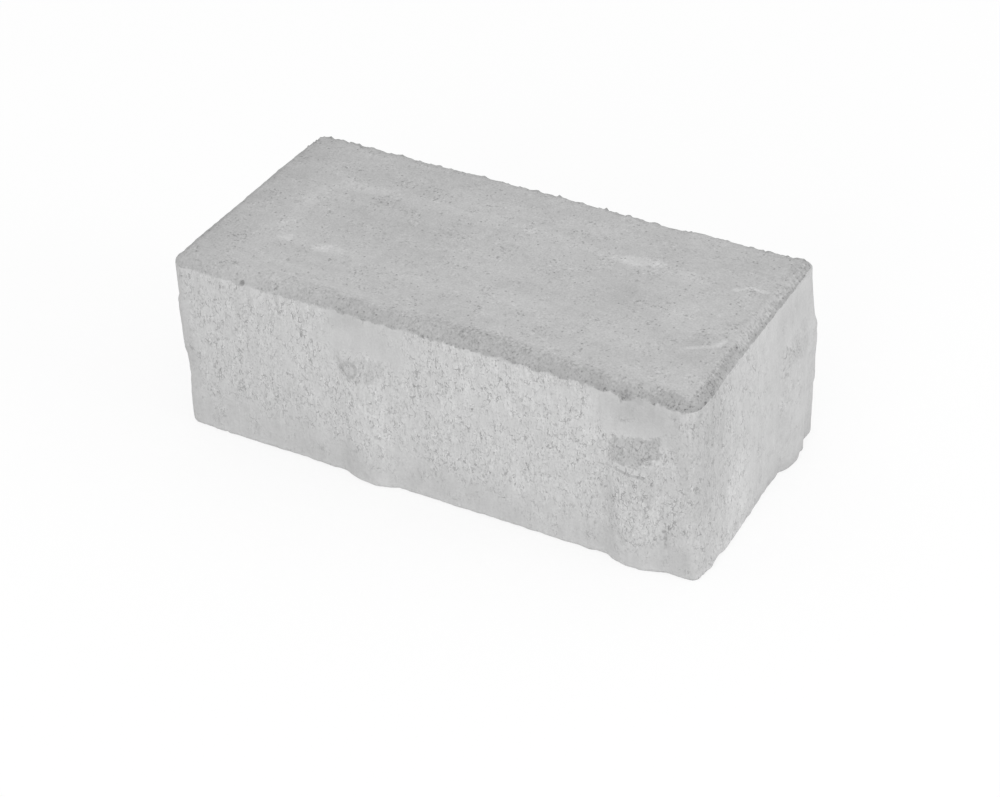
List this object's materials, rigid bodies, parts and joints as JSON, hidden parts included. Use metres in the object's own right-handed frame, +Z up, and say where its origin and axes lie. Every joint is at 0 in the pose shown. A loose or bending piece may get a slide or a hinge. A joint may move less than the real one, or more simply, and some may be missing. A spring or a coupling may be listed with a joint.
{
  "type": "concrete paving stone",
  "caption": "Rectangular grey concrete paving stone with a chamfered wearing face, rounded upright corners and half-round spacer lugs that keep the joint open to its neighbours.",
  "frame": {"origin": "middle of the bed face, the flat underside that the stone lies on", "axes": "+X along the length, +Y across the width toward the back, +Z up out of the wearing face"},
  "size_m": [0.2024, 0.1024, 0.07],
  "materials": {
    "concrete": "matt, fine-grained and porous"
  },
  "bodies": {
    "root": {"paving_stone": "concrete"}
  },
  "joints": []
}
